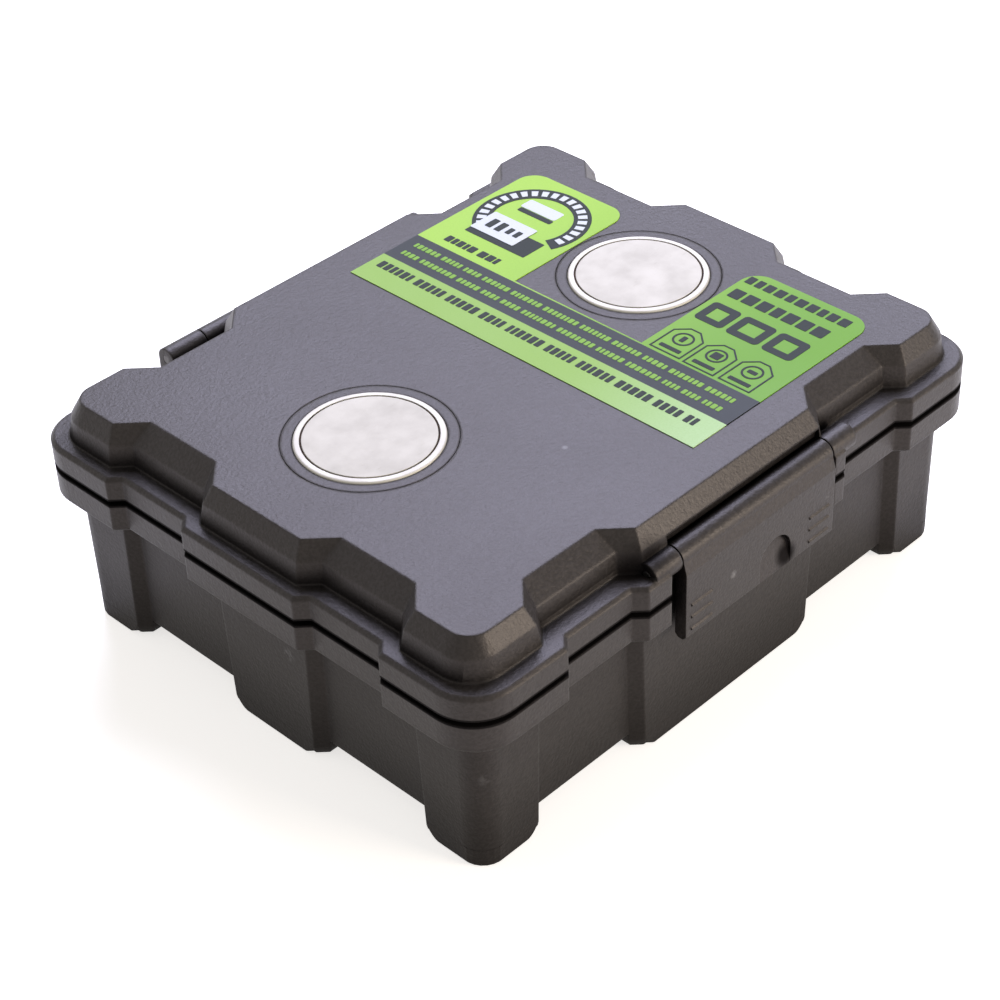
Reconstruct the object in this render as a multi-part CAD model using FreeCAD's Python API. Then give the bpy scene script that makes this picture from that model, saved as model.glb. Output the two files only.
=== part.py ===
import FreeCAD, Part
import math
import os

# Lidded moulded plastic box that clings to steel by two pot magnets let into
# its lid. Millimetres, Z up, X along the length, rear hinge at +Y, latch at -Y.
# Sizes count from the middle of the flange, with the ground at zero height.

os.makedirs("parts", exist_ok=True)
Vec = FreeCAD.Vector
X_AXIS = Vec(1, 0, 0)
Y_AXIS = Vec(0, 1, 0)
Z_AXIS = Vec(0, 0, 1)

# Heights, each counted from the one below it
belly_z = 5.1
wall_height = 31.2
rim_height = 6.2
parting_gap = 1.3
skirt_height = 5.8
plateau_rise = 4.9
chamfer_height = 4.0
rim_bottom_z = belly_z + wall_height
rim_top_z = rim_bottom_z + rim_height
skirt_z = rim_top_z + parting_gap
ledge_z = skirt_z + skirt_height
chamfer_z = ledge_z + plateau_rise
top_z = chamfer_z + chamfer_height

# Flange shared by the lid skirt and the base rim; an end run is a corner bulge's length
flange_half_x = 79.5
flange_half_y = 67.0
flange_step = 2.5
flange_corner = 10.5
flange_end_run_x = 25.3
flange_end_run_y = 25.6
flange_mid_x = 30.9
flange_mid_y = 16.8
flange_round = 0.8

# Raised lid plateau: its top face, then how its chamfer spreads below
plateau_inset_x = 6.7
plateau_inset_y = 7.3
plateau_step = 5.7
plateau_corner = 5.0
plateau_end_run = 14.4
plateau_mid_x = 26.8
plateau_mid_y = 13.2
plateau_spread = 2.4
plateau_low_step = 3.6
plateau_flare = 0.9
plateau_half_x = flange_half_x - plateau_inset_x
plateau_half_y = flange_half_y - plateau_inset_y

# Walls: set back under the rim, with pillars narrower than the rim's bulges; drafts are per unit of fall
wall = 2.6
rim_overhang = 4.8
rim_edge = 0.9
rim_slope = 2.6
wall_draft = 0.008
pillar_set_in = 3.4
pillar_draft = 0.032
lid_skin = 2.6
rim_slope_z = rim_bottom_z - rim_edge - rim_slope

# Feet, their lower edges rounded in a few steps
foot_depth = 15.0
foot_round = 3.6
foot_steps = 5

# Seal between the lid and the base
seal_inset = 2.3
seal_width = 2.1
seal_side_gap = 0.2
seal_height = 2.4
seal_lead = 0.1
ridge_trim = 0.3

# Rear hinge, its axis set in from the flange side and below the ledge
hinge_inset = 0.4
hinge_drop = 0.2
hinge_radius = 2.7
hinge_left = -42.0
hinge_right = 36.0
hinge_end_length = 10.0
hinge_gap = 0.3
arm_depth = 2.4
arm_root_depth = 2.1
pin_radius = 1.0
bore_play = 0.06
hinge_y = flange_half_y - hinge_inset
hinge_z = ledge_z - hinge_drop
hinge_relief_y = hinge_y - hinge_radius - hinge_gap
arm_back_y = hinge_y - arm_depth
arm_root_y = arm_back_y - arm_root_depth

# Front latch: barrel and flap
latch_inset = 3.4
latch_drop = 0.3
latch_radius = 2.9
knuckle_length = 7.5
latch_gap = 0.35
flap_left = -20.2
flap_right = 27.2
flap_length = 19.8
flap_thickness = 2.9
flap_swell = 0.8
flap_edge = 0.8
latch_y = latch_inset - flange_half_y
latch_z = ledge_z - latch_drop
knuckle_left = flap_left - latch_gap - knuckle_length
knuckle_right = flap_right + latch_gap + knuckle_length
flap_outer_y = latch_y - latch_radius - flap_swell
flap_inner_y = flap_outer_y + flap_thickness
flap_bottom_z = latch_z - flap_length

# Pocket behind the flap, and the room its barrel turns in
pocket_left_margin = 4.1
pocket_right_margin = 0.4
pocket_clearance = 1.8
pocket_drop = 0.3
groove_play = 0.5
barrel_relief_depth = 2.2
barrel_relief_rise = 4.7
pocket_left = flap_left - pocket_left_margin
pocket_right = flap_right + pocket_right_margin
pocket_floor_y = flap_inner_y + pocket_clearance
pocket_bottom_z = flap_bottom_z - pocket_drop
skirt_relief_y = flap_inner_y + groove_play
barrel_relief_y = latch_y + barrel_relief_depth
barrel_relief_z = latch_z + barrel_relief_rise

# Catch on the base and the bead on the flap that snaps under it
catch_rise = 4.9
catch_height = 3.0
catch_half_length = 16.0
catch_reach = 1.0
catch_clearance = 0.15
catch_inset_x = 3.4
catch_z = flap_bottom_z + catch_rise
catch_tip_y = pocket_floor_y - catch_reach

# Thumb scoop and grip ribs on the flap
scoop_x = 8.0
scoop_rise = 5.0
scoop_radius = 5.0
scoop_depth = 2.1
grip_rows = 3
grip_pitch = 3.1
grip_rise = 2.3
grip_height = 0.35
grip_width = 0.9
grip_length = 6.5
grip_inset = 1.6
scoop_z = flap_bottom_z + scoop_rise
grip_first_z = flap_bottom_z + grip_rise

# Magnet sets: pot, filler ring, disc, collar, screw and washer
magnet_near_margin = 32.3
magnet_far_margin = 30.1
magnet_y = 1.2
magnet_proud = 0.4
pot_radius = 16.0
pot_rim = 1.4
pot_floor = 2.9
pot_edge = 0.5
filler_width = 0.45
filler_drop = 0.3
collar_width = 2.6
ring_gap = 0.15
well_depth = 8.0
well_floor = 2.5
well_wall = 2.4
screw_radius = 1.95
screw_hole = 2.2
screw_head_radius = 3.8
screw_head_height = 2.4
screw_tip_short = 0.3
recess_span = 4.4
recess_width = 0.9
recess_depth = 1.3
washer_radius = 4.6
washer_height = 0.8
magnet_places = {"near": (magnet_near_margin - plateau_half_x, magnet_y),
                 "far": (plateau_half_x - magnet_far_margin, magnet_y)}
pot_bore = pot_radius - pot_rim
disc_radius = pot_bore - filler_width
collar_radius = pot_radius + collar_width

# Printed sheet stuck on the lid
sheet_thickness = 0.2
sheet_left = 0.5
sheet_margin_x = 12.2
sheet_margin_y = 8.7
sheet_band = 22.2
sheet_corner = 5.0
sheet_slot_margin = 0.4
sheet_right = plateau_half_x - sheet_margin_x
sheet_half_y = plateau_half_y - sheet_margin_y

# Dividers inside the base
divider_thickness = 2.0
divider_drop = 2.5
divider_play = 0.2
divider_end_gap = 0.4
cross_x = 24.0
guide_width = 1.6
guide_reach = 3.0
divider_top_z = rim_top_z - divider_drop

# Ribs under the lid
lid_rib = 1.6
lid_rib_drop = 3.4
lid_rib_y = 30.0
lid_rib_inset = 8.8
lid_rib_x = plateau_half_x - lid_rib_inset

corner_share = math.tan(math.radians(22.5))
floor_z = belly_z + wall
well_z = top_z - well_depth
overlap = 0.5
beyond = 4.0

# The frame's origin lies below the middle of everything, latch and hinge included
front_y = flap_outer_y - grip_height
rear_y = hinge_y + hinge_radius
to_frame = Vec(0, -(front_y + rear_y) / 2, 0)


def outline(half_x, half_y, step, corner, end_x, mid_x, end_y, mid_y):
    # Rectangle whose four sides each step back between corner and middle bulges
    return {"half_x": half_x, "half_y": half_y, "step": step, "corner": corner,
            "end_x": end_x, "mid_x": mid_x, "end_y": end_y, "mid_y": mid_y}


def grown(shape, distance):
    # The same outline moved outward by an even distance
    slide = distance * corner_share
    return outline(shape["half_x"] + distance, shape["half_y"] + distance, shape["step"],
                   shape["corner"] + distance, shape["end_x"] - slide, shape["mid_x"] + slide,
                   shape["end_y"] - slide, shape["mid_y"] + slide)


def side_stops(end, mid, step, bulged):
    # Distances along one side, each with how far the side is stepped back there
    inner = [(-mid - step, step), (-mid, 0.0), (mid, 0.0), (mid + step, step)]
    return ([(-end, 0.0), (-end + step, step)] + (inner if bulged else [])
            + [(end - step, step), (end, 0.0)])


def outline_wire(shape, z, bulged=True):
    # bulged False leaves the front and rear sides without their middle bulge
    hx, hy, step, r = shape["half_x"], shape["half_y"], shape["step"], shape["corner"]
    along_x = side_stops(shape["end_x"], shape["mid_x"], step, bulged)
    along_y = side_stops(shape["end_y"], shape["mid_y"], step, True)
    sides = [
        [Vec(hx - back, s, z) for s, back in along_y],
        [Vec(-s, hy - back, z) for s, back in along_x],
        [Vec(-hx + back, -s, z) for s, back in along_y],
        [Vec(s, -hy + back, z) for s, back in along_x],
    ]
    turns = [(hx - r, hy - r, 0), (-hx + r, hy - r, 90),
             (-hx + r, -hy + r, 180), (hx - r, -hy + r, 270)]
    edges = []
    for index, points in enumerate(sides):
        cx, cy, start = turns[index]
        angles = [math.radians(start + a) for a in (0, 45, 90)]
        arc = [Vec(cx + r * math.cos(a), cy + r * math.sin(a), z) for a in angles]
        for first, second in zip(points, points[1:] + [arc[0]]):
            edges.append(Part.makeLine(first, second))
        edges.append(Part.Arc(*arc).toShape())
        edges.append(Part.makeLine(arc[2], sides[(index + 1) % 4][0]))
    return Part.Wire(edges)


def slab(shape, low_z, high_z, bulged=True):
    return Part.Face(outline_wire(shape, low_z, bulged)).extrude(Vec(0, 0, high_z - low_z))


def taper(low_shape, low_z, high_shape, high_z, bulged=True):
    wires = [outline_wire(low_shape, low_z, bulged), outline_wire(high_shape, high_z, bulged)]
    return Part.makeLoft(wires, True, True)


def box(x0, x1, y0, y1, z0, z1):
    return Part.makeBox(x1 - x0, y1 - y0, z1 - z0, Vec(x0, y0, z0))


def rod(radius, x0, x1, y, z):
    return Part.makeCylinder(radius, x1 - x0, Vec(x0, y, z), X_AXIS)


def post(radius, x, y, z0, z1):
    return Part.makeCylinder(radius, z1 - z0, Vec(x, y, z0), Z_AXIS)


def plate(points, along, start, thickness):
    # points are (y, z) when along is X and (x, z) when along is Y
    if along == "x":
        corners = [Vec(start, a, b) for a, b in points]
        push = Vec(thickness, 0, 0)
    else:
        corners = [Vec(a, start, b) for a, b in points]
        push = Vec(0, thickness, 0)
    return Part.Face(Part.makePolygon(corners + corners[:1])).extrude(push)


def joined(shapes):
    first, rest = shapes[0], shapes[1:]
    return first.fuse(rest).removeSplitter() if rest else first


def save(name, shape):
    solids = [solid.translated(to_frame) for solid in shape.Solids]
    result = solids[0] if len(solids) == 1 else Part.makeCompound(solids)
    result.exportStep("parts/" + name + ".step")
    print(name, len(solids), round(shape.Volume, 1), shape.isValid())


flange_end_x = flange_half_x - flange_end_run_x
flange_end_y = flange_half_y - flange_end_run_y
flange = outline(flange_half_x, flange_half_y, flange_step, flange_corner,
                 flange_end_x, flange_mid_x, flange_end_y, flange_mid_y)
plateau = outline(plateau_half_x, plateau_half_y, plateau_step, plateau_corner,
                  plateau_half_x - plateau_end_run, plateau_mid_x,
                  plateau_half_y - plateau_end_run, plateau_mid_y)
plateau_low = dict(grown(plateau, plateau_spread), step=plateau_low_step)
seal_outer = grown(flange, -seal_inset)
seal_inner = grown(seal_outer, -seal_width)


def wall_outline(z):
    # Outside of the base wall: faces lean in and the pillars narrow downward
    fall = max(rim_bottom_z - z, 0.0)
    pull = rim_overhang + wall_draft * fall
    slide = pillar_set_in + pillar_draft * fall
    return outline(flange_half_x - pull, flange_half_y - pull, flange_step, flange_corner - pull,
                   flange_end_x + slide, flange_mid_x - slide,
                   flange_end_y + slide, flange_mid_y - slide)


def cavity_outline(z):
    return grown(wall_outline(z), -wall)


def foot_level(step):
    # Height and outline of the feet's rounded lower edge after some of its steps up from the ground
    turn = math.radians(90.0 * step / foot_steps)
    z = foot_round * (1 - math.cos(turn))
    return z, grown(wall_outline(z), foot_round * (math.sin(turn) - 1))


def hinge_spans():
    # The base holds the two ends and the middle, the lid the two spans between
    middle = (hinge_left + hinge_right) / 2
    half = hinge_end_length / 2
    base = [(hinge_left, hinge_left + hinge_end_length), (middle - half, middle + half),
            (hinge_right - hinge_end_length, hinge_right)]
    lid = [(a[1] + hinge_gap, b[0] - hinge_gap) for a, b in zip(base, base[1:])]
    return base, lid


# Feet below the belly, one under every pillar
def foot_blocks(inset, bottom_z):
    low = wall_outline(bottom_z)
    reach = low["end_x"] - low["step"]
    reach_y = low["end_y"] - low["step"]
    mid_x = low["mid_x"] + low["step"]
    mid_y = low["mid_y"] + low["step"]
    hx, hy = low["half_x"], low["half_y"]
    spans = []
    for sx in (-1, 1):
        for sy in (-1, 1):
            spans.append((sorted((sx * reach, sx * (hx + beyond))),
                          sorted((sy * reach_y, sy * (hy + beyond)))))
        spans.append((sorted((sx * (hx - foot_depth), sx * (hx + beyond))), (-mid_y, mid_y)))
        spans.append(((-mid_x, mid_x), sorted((sx * (hy - foot_depth), sx * (hy + beyond)))))
    blocks = []
    for (x0, x1), (y0, y1) in spans:
        block = box(x0 + inset, x1 - inset, y0 + inset, y1 - inset, bottom_z, floor_z + overlap)
        ground = [e for e in block.Edges if max(v.Z for v in e.Vertexes) < bottom_z + overlap]
        blocks.append(block.makeFillet(foot_round - inset, ground))
    return Part.makeCompound(blocks)


# Base shell
rim_low = grown(flange, -rim_edge)
rim_low_z = rim_bottom_z - rim_edge
body = [taper(wall_outline(belly_z), belly_z, wall_outline(rim_bottom_z), rim_bottom_z),
        taper(wall_outline(rim_slope_z), rim_slope_z, rim_low, rim_low_z),
        taper(rim_low, rim_low_z, flange, rim_bottom_z),
        slab(flange, rim_bottom_z, rim_top_z)]
foot_levels = [foot_level(step) for step in range(foot_steps + 1)] + [(belly_z, wall_outline(belly_z))]
foot_core = joined([taper(low, low_z, high, high_z)
                    for (low_z, low), (high_z, high) in zip(foot_levels, foot_levels[1:])])
feet = foot_core.common(foot_blocks(0.0, 0.0))
base = joined(body + feet.Solids)

cavity = [taper(cavity_outline(floor_z), floor_z, cavity_outline(rim_bottom_z), rim_bottom_z, False),
          slab(cavity_outline(rim_bottom_z), rim_bottom_z, rim_top_z + overlap, False)]
wells = taper(cavity_outline(wall), wall, cavity_outline(floor_z + overlap), floor_z + overlap, False)
cavity += wells.common(foot_blocks(wall, wall)).Solids
base = base.cut(cavity)

ridge = slab(grown(seal_outer, -ridge_trim), rim_top_z - overlap, skirt_z - seal_lead, False)
ridge = ridge.cut(slab(grown(seal_inner, ridge_trim), rim_top_z - beyond, skirt_z, False))
base = base.fuse(ridge)

# Latch pocket and the catch the flap closes over
base = base.cut(box(pocket_left, pocket_right, -flange_half_y - beyond, pocket_floor_y,
                    pocket_bottom_z, rim_top_z + overlap))
catch_middle = (flap_left + flap_right) / 2
catch_profile = [(pocket_floor_y + overlap, catch_z - overlap), (catch_tip_y, catch_z + overlap),
                 (catch_tip_y, catch_z + catch_height - overlap),
                 (pocket_floor_y + overlap, catch_z + catch_height + overlap)]
catch = plate(catch_profile, "x", catch_middle - catch_half_length, 2 * catch_half_length)
base = base.fuse(catch)

# Hinge arms rising from the rim
base_spans, lid_spans = hinge_spans()
arm_profile = [(arm_root_y, rim_bottom_z + overlap), (arm_root_y, rim_top_z),
               (arm_back_y, rim_top_z), (arm_back_y, hinge_z),
               (hinge_y + hinge_radius, hinge_z), (hinge_y + hinge_radius, rim_top_z + overlap),
               (flange_half_y, rim_bottom_z + overlap)]
for x0, x1 in base_spans:
    arm = plate(arm_profile, "x", x0, x1 - x0).fuse(rod(hinge_radius, x0, x1, hinge_y, hinge_z))
    base = base.fuse(arm)
base = base.cut(rod(pin_radius, hinge_left - overlap, hinge_right + overlap, hinge_y, hinge_z))


# Paired guides that hold the divider ends
def guide_pair(inner_low, inner_high, place, along, sign):
    near = divider_thickness / 2 + divider_play
    profile = [(sign * (inner_low - guide_reach), floor_z - overlap),
               (sign * (inner_low + overlap), floor_z - overlap),
               (sign * (inner_high + overlap), divider_top_z),
               (sign * (inner_high - guide_reach), divider_top_z)]
    starts = (place - near - guide_width, place + near)
    return [plate(profile, along, start, guide_width) for start in starts]


low_cavity = cavity_outline(floor_z)
high_cavity = cavity_outline(rim_bottom_z)
low_end_y = low_cavity["half_y"] - low_cavity["step"]
high_end_y = high_cavity["half_y"] - high_cavity["step"]
guides = []
for sign in (-1, 1):
    guides += guide_pair(low_cavity["half_x"], high_cavity["half_x"], 0.0, "y", sign)
    for place in (-cross_x, cross_x):
        guides += guide_pair(low_end_y, high_end_y, place, "x", sign)
base = base.fuse(guides).removeSplitter()
save("base_shell", base)

# Rear hinge pin
save("hinge_pin", rod(pin_radius, hinge_left, hinge_right, hinge_y, hinge_z))

# Dividers: the long one is notched from above, the cross ones from below
lap_z = (floor_z + divider_top_z) / 2
half_notch = divider_thickness / 2 + divider_play


def divider_profile(low_reach, high_reach):
    low = low_reach - divider_end_gap
    high = high_reach - divider_end_gap
    return [(-low, floor_z), (low, floor_z), (high, divider_top_z), (-high, divider_top_z)]


long_divider = plate(divider_profile(low_cavity["half_x"], high_cavity["half_x"]), "y",
                     -divider_thickness / 2, divider_thickness)
for place in (-cross_x, cross_x):
    notch = box(place - half_notch, place + half_notch, -beyond, beyond, lap_z, divider_top_z + overlap)
    long_divider = long_divider.cut(notch)
save("divider_long", long_divider)
for name, place in (("left", -cross_x), ("right", cross_x)):
    cross = plate(divider_profile(low_end_y, high_end_y), "x",
                  place - divider_thickness / 2, divider_thickness)
    notch = box(place - beyond, place + beyond, -half_notch, half_notch,
                floor_z - overlap, lap_z + divider_play)
    save("divider_cross_" + name, cross.cut(notch))

# Lid shell: skirt, rounded ledge and chamfered plateau
lid_parts = [slab(flange, skirt_z, ledge_z - flange_round),
             taper(flange, ledge_z - flange_round, grown(flange, -flange_round), ledge_z),
             taper(grown(plateau_low, plateau_flare), ledge_z, plateau_low, chamfer_z),
             taper(plateau_low, chamfer_z, plateau, top_z)]
lid = joined(lid_parts)
lid_cavity_low = grown(plateau_low, -lid_skin)
lid_cavity_high = grown(plateau, -lid_skin)
lid_roof_z = top_z - lid_skin
lid_shoulder_z = chamfer_z - lid_skin * corner_share
hollow = [slab(lid_cavity_low, skirt_z - overlap, lid_shoulder_z, False),
          taper(lid_cavity_low, lid_shoulder_z, lid_cavity_high, lid_roof_z, False)]
hollow = joined(hollow)
ribs = [box(-lid_rib_x, lid_rib_x, side * lid_rib_y - lid_rib / 2, side * lid_rib_y + lid_rib / 2,
            lid_roof_z - lid_rib_drop, top_z - overlap) for side in (-1, 1)]
ribs += [box(place - lid_rib / 2, place + lid_rib / 2, -plateau_half_y, plateau_half_y,
             lid_roof_z - lid_rib_drop, top_z - overlap) for place in (-lid_rib_x, 0.0, lid_rib_x)]
wells = [post(collar_radius + ring_gap + well_wall, x, y, well_z - well_floor, top_z - overlap)
         for x, y in magnet_places.values()]
hollow = hollow.cut(ribs + wells)
lid = lid.cut(hollow)

# Wells for the magnet sets, open at the top, with a screw hole in the floor
for x, y in magnet_places.values():
    lid = lid.cut(post(collar_radius + ring_gap, x, y, well_z, top_z + overlap))
    lid = lid.cut(post(screw_hole, x, y, well_z - well_floor - overlap, well_z + overlap))

# Groove for the seal
groove = slab(grown(seal_outer, seal_side_gap), skirt_z - overlap, skirt_z + seal_height, False)
groove = groove.cut(slab(grown(seal_inner, -seal_side_gap), skirt_z - beyond, top_z, False))
lid = lid.cut(groove)

# Room for the latch flap, then the knuckles that carry its pin
lid = lid.cut(box(pocket_left, pocket_right, -flange_half_y - beyond, skirt_relief_y,
                  skirt_z - overlap, latch_z))
barrel_left = flap_left - latch_gap
barrel_right = flap_right + latch_gap
lid = lid.cut(box(barrel_left, barrel_right, -flange_half_y - beyond, barrel_relief_y,
                  latch_z, barrel_relief_z))
lid = lid.cut(rod(latch_radius + groove_play, barrel_left, barrel_right, latch_y, latch_z))
knuckles = [rod(latch_radius, knuckle_left, barrel_left, latch_y, latch_z),
            rod(latch_radius, barrel_right, knuckle_right, latch_y, latch_z)]
lid = lid.fuse(knuckles)
lid = lid.cut(rod(pin_radius, knuckle_left - overlap, knuckle_right + overlap, latch_y, latch_z))

# Room for the hinge arms, then the lid's own hinge knuckles
for x0, x1 in base_spans:
    lid = lid.cut(box(x0 - hinge_gap, x1 + hinge_gap, hinge_relief_y, hinge_y + beyond,
                      skirt_z - overlap, hinge_z + hinge_radius + overlap))
for x0, x1 in lid_spans:
    lid = lid.fuse(rod(hinge_radius, x0, x1, hinge_y, hinge_z))
lid = lid.cut(rod(pin_radius + bore_play, hinge_left - overlap, hinge_right + overlap, hinge_y, hinge_z))
save("lid_shell", lid.removeSplitter())

# Seal pressed up into the groove, its underside resting on the base ridge
seal = slab(seal_outer, skirt_z - seal_lead, skirt_z + seal_height, False)
seal = seal.cut(slab(seal_inner, skirt_z - beyond, top_z, False))
save("lid_seal", seal)

# Latch pin and flap
save("latch_pin", rod(pin_radius, knuckle_left, knuckle_right, latch_y, latch_z))
front_tangent = latch_y - latch_radius
flap_profile = [(latch_y, latch_z), (front_tangent, latch_z), (flap_outer_y, latch_z - latch_radius),
                (flap_outer_y, flap_bottom_z + flap_edge), (flap_outer_y + flap_edge, flap_bottom_z),
                (flap_inner_y - flap_edge, flap_bottom_z), (flap_inner_y, flap_bottom_z + flap_edge),
                (flap_inner_y, latch_z - latch_radius)]
flap = plate(flap_profile, "x", flap_left, flap_right - flap_left)
flap = flap.fuse(rod(latch_radius, flap_left, flap_right, latch_y, latch_z))
bead_tip = catch_tip_y - catch_clearance
bead_profile = [(flap_inner_y - overlap, catch_z), (bead_tip, catch_z + overlap),
                (bead_tip, catch_z + catch_height - overlap),
                (flap_inner_y - overlap, catch_z + catch_height)]
bead = plate(bead_profile, "x", catch_middle - catch_half_length + catch_inset_x,
             2 * (catch_half_length - catch_inset_x))
flap = flap.fuse(bead)
flap = flap.cut(rod(pin_radius + bore_play, flap_left - overlap, flap_right + overlap, latch_y, latch_z))
scoop_top_z = scoop_z + scoop_radius
scoop_profile = [(flap_outer_y - overlap, flap_bottom_z), (flap_outer_y - overlap, scoop_top_z + overlap),
                 (flap_outer_y + scoop_depth, scoop_top_z + overlap),
                 (flap_outer_y, flap_bottom_z + flap_edge)]
scoop_wedge = plate(scoop_profile, "x", scoop_x - scoop_radius, 2 * scoop_radius)
scoop_round = Part.makeCylinder(scoop_radius, 2 * beyond,
                                Vec(scoop_x, flap_outer_y - beyond, scoop_z), Y_AXIS)
scoop_shaft = box(scoop_x - scoop_radius, scoop_x + scoop_radius,
                  flap_outer_y - beyond, flap_outer_y + beyond, flap_bottom_z - overlap, scoop_z)
flap = flap.cut(scoop_wedge.common(scoop_round.fuse(scoop_shaft)))
for row in range(grip_rows):
    level = grip_first_z + row * grip_pitch
    low, high = level - grip_width / 2, level + grip_width / 2
    grip_profile = [(flap_outer_y + overlap, low), (flap_outer_y, low),
                    (flap_outer_y - grip_height, level), (flap_outer_y, high), (flap_outer_y + overlap, high)]
    for start in (flap_left + grip_inset, flap_right - grip_inset - grip_length):
        flap = flap.fuse(plate(grip_profile, "x", start, grip_length))
save("latch_flap", flap.removeSplitter())

# Magnet sets
face_z = top_z + magnet_proud
pot_floor_z = well_z + pot_floor
head_z = well_z - well_floor - washer_height
screws = []
washers = []
for name, (x, y) in magnet_places.items():
    collar = post(collar_radius, x, y, well_z, top_z).cut(post(pot_radius + ring_gap, x, y, well_z, top_z))
    save("magnet_collar_" + name, collar)
    pot = post(pot_radius, x, y, well_z, face_z)
    rim = [e for e in pot.Edges if len(e.Vertexes) == 1 and abs(e.Vertexes[0].Z - face_z) < overlap]
    pot = pot.makeFillet(pot_edge, rim)
    pot = pot.cut(post(pot_bore, x, y, pot_floor_z, face_z + overlap))
    pot = pot.cut(post(screw_hole, x, y, well_z - overlap, pot_floor_z + overlap))
    save("magnet_pot_" + name, pot)
    filler = post(pot_bore, x, y, pot_floor_z, face_z - filler_drop)
    save("magnet_filler_" + name, filler.cut(post(disc_radius, x, y, pot_floor_z, face_z)))
    save("magnet_disc_" + name, post(disc_radius, x, y, pot_floor_z, face_z))
    screw = post(screw_head_radius, x, y, head_z - screw_head_height, head_z)
    crown = [e for e in screw.Edges if len(e.Vertexes) == 1 and e.Vertexes[0].Z < head_z - overlap]
    screw = screw.makeFillet(screw_head_height / 2, crown)
    screw = screw.fuse(post(screw_radius, x, y, head_z - overlap, pot_floor_z - screw_tip_short))
    for span_x, span_y in ((recess_span, recess_width), (recess_width, recess_span)):
        screw = screw.cut(box(x - span_x / 2, x + span_x / 2, y - span_y / 2, y + span_y / 2,
                              head_z - screw_head_height - overlap, head_z - screw_head_height + recess_depth))
    screws.append(screw)
    washer = post(washer_radius, x, y, head_z, head_z + washer_height)
    washers.append(washer.cut(post(screw_hole, x, y, head_z - overlap, head_z + washer_height + overlap)))
save("magnet_screws", Part.makeCompound(screws))
save("magnet_washers", Part.makeCompound(washers))

# Printed sheet: a band across the lid with a panel on each side of the far set
far_y = magnet_places["far"][1]
slot_half = collar_radius + sheet_slot_margin
sheet = box(sheet_left, sheet_band, -sheet_half_y, sheet_half_y, top_z, top_z + sheet_thickness)
for y0, y1 in ((-sheet_half_y, far_y - slot_half), (far_y + slot_half, sheet_half_y)):
    panel = box(sheet_band - sheet_corner, sheet_right, y0, y1, top_z, top_z + sheet_thickness)
    outer = [e for e in panel.Edges if min(v.X for v in e.Vertexes) > sheet_right - overlap
             and abs(e.Vertexes[0].Z - e.Vertexes[-1].Z) > sheet_thickness / 2]
    sheet = sheet.fuse(panel.makeFillet(sheet_corner, outer))
save("lid_sheet", sheet.removeSplitter())
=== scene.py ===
import math

import bmesh
import bpy
import numpy as np
from mathutils import Matrix, Vector


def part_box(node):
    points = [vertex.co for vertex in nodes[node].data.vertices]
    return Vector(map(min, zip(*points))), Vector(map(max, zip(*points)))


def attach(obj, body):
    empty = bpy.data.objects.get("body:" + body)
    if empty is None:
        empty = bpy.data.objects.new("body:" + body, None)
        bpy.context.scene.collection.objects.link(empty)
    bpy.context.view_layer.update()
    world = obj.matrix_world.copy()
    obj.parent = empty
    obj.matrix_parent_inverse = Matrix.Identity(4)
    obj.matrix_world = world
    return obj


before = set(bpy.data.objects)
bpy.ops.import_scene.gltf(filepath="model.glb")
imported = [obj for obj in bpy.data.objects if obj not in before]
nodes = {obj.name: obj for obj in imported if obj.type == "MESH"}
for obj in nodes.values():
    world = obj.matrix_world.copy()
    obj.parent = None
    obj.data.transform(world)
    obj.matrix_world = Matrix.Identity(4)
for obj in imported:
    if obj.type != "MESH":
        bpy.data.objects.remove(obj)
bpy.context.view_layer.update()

scene = bpy.context.scene
scene.view_settings.view_transform = "Standard"
print("frame loaded:", len(nodes), "nodes")

# Camera: angles in degrees, azimuth 0 looks along +Y
cameraPlan = {
    "target": (-0.03791, -0.034485, 0.0585),
    "distance": 0.4792,
    "azimuth": -44.26,
    "elevation": 37.38,
    "roll": -2.56,
    "lens": 87.05,
    "sensor": 36,
    "nearest": 0.01,
}


def aimed(azimuth, elevation):
    # unit vector from what is looked at towards the one who looks
    a, e = math.radians(azimuth), math.radians(elevation)
    return Vector((math.sin(a) * math.cos(e), -math.cos(a) * math.cos(e), math.sin(e)))


def placeCamera(plan):
    back = aimed(plan["azimuth"], plan["elevation"])
    right = Vector((0, 0, 1)).cross(back).normalized()
    up = back.cross(right)
    roll = math.radians(plan["roll"])
    sideways = right * math.cos(roll) + up * math.sin(roll)
    upward = up * math.cos(roll) - right * math.sin(roll)
    camera = bpy.data.objects.new("camera", bpy.data.cameras.new("camera"))
    scene.collection.objects.link(camera)
    turn = Matrix((sideways, upward, back)).transposed().to_4x4()
    camera.matrix_world = Matrix.Translation(Vector(plan["target"]) + back * plan["distance"]) @ turn
    camera.data.lens = plan["lens"]
    camera.data.sensor_width = plan["sensor"]
    camera.data.clip_start = plan["nearest"]
    scene.camera = camera


placeCamera(cameraPlan)

# Rays that a Bevel or Ambient Occlusion node sends out
raySamples = 6


class Val:
    # a shader socket that takes part in ordinary arithmetic
    def __init__(self, tree, socket):
        self.tree = tree
        self.socket = socket

    def __add__(self, other):
        return self.tree.maths("ADD", self, other)

    def __radd__(self, other):
        return self.tree.maths("ADD", other, self)

    def __sub__(self, other):
        return self.tree.maths("SUBTRACT", self, other)

    def __rsub__(self, other):
        return self.tree.maths("SUBTRACT", other, self)

    def __mul__(self, other):
        return self.tree.maths("MULTIPLY", self, other)

    def __rmul__(self, other):
        return self.tree.maths("MULTIPLY", other, self)

    def __gt__(self, other):
        return self.tree.maths("GREATER_THAN", self, other)

    def __lt__(self, other):
        return self.tree.maths("LESS_THAN", self, other)


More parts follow.
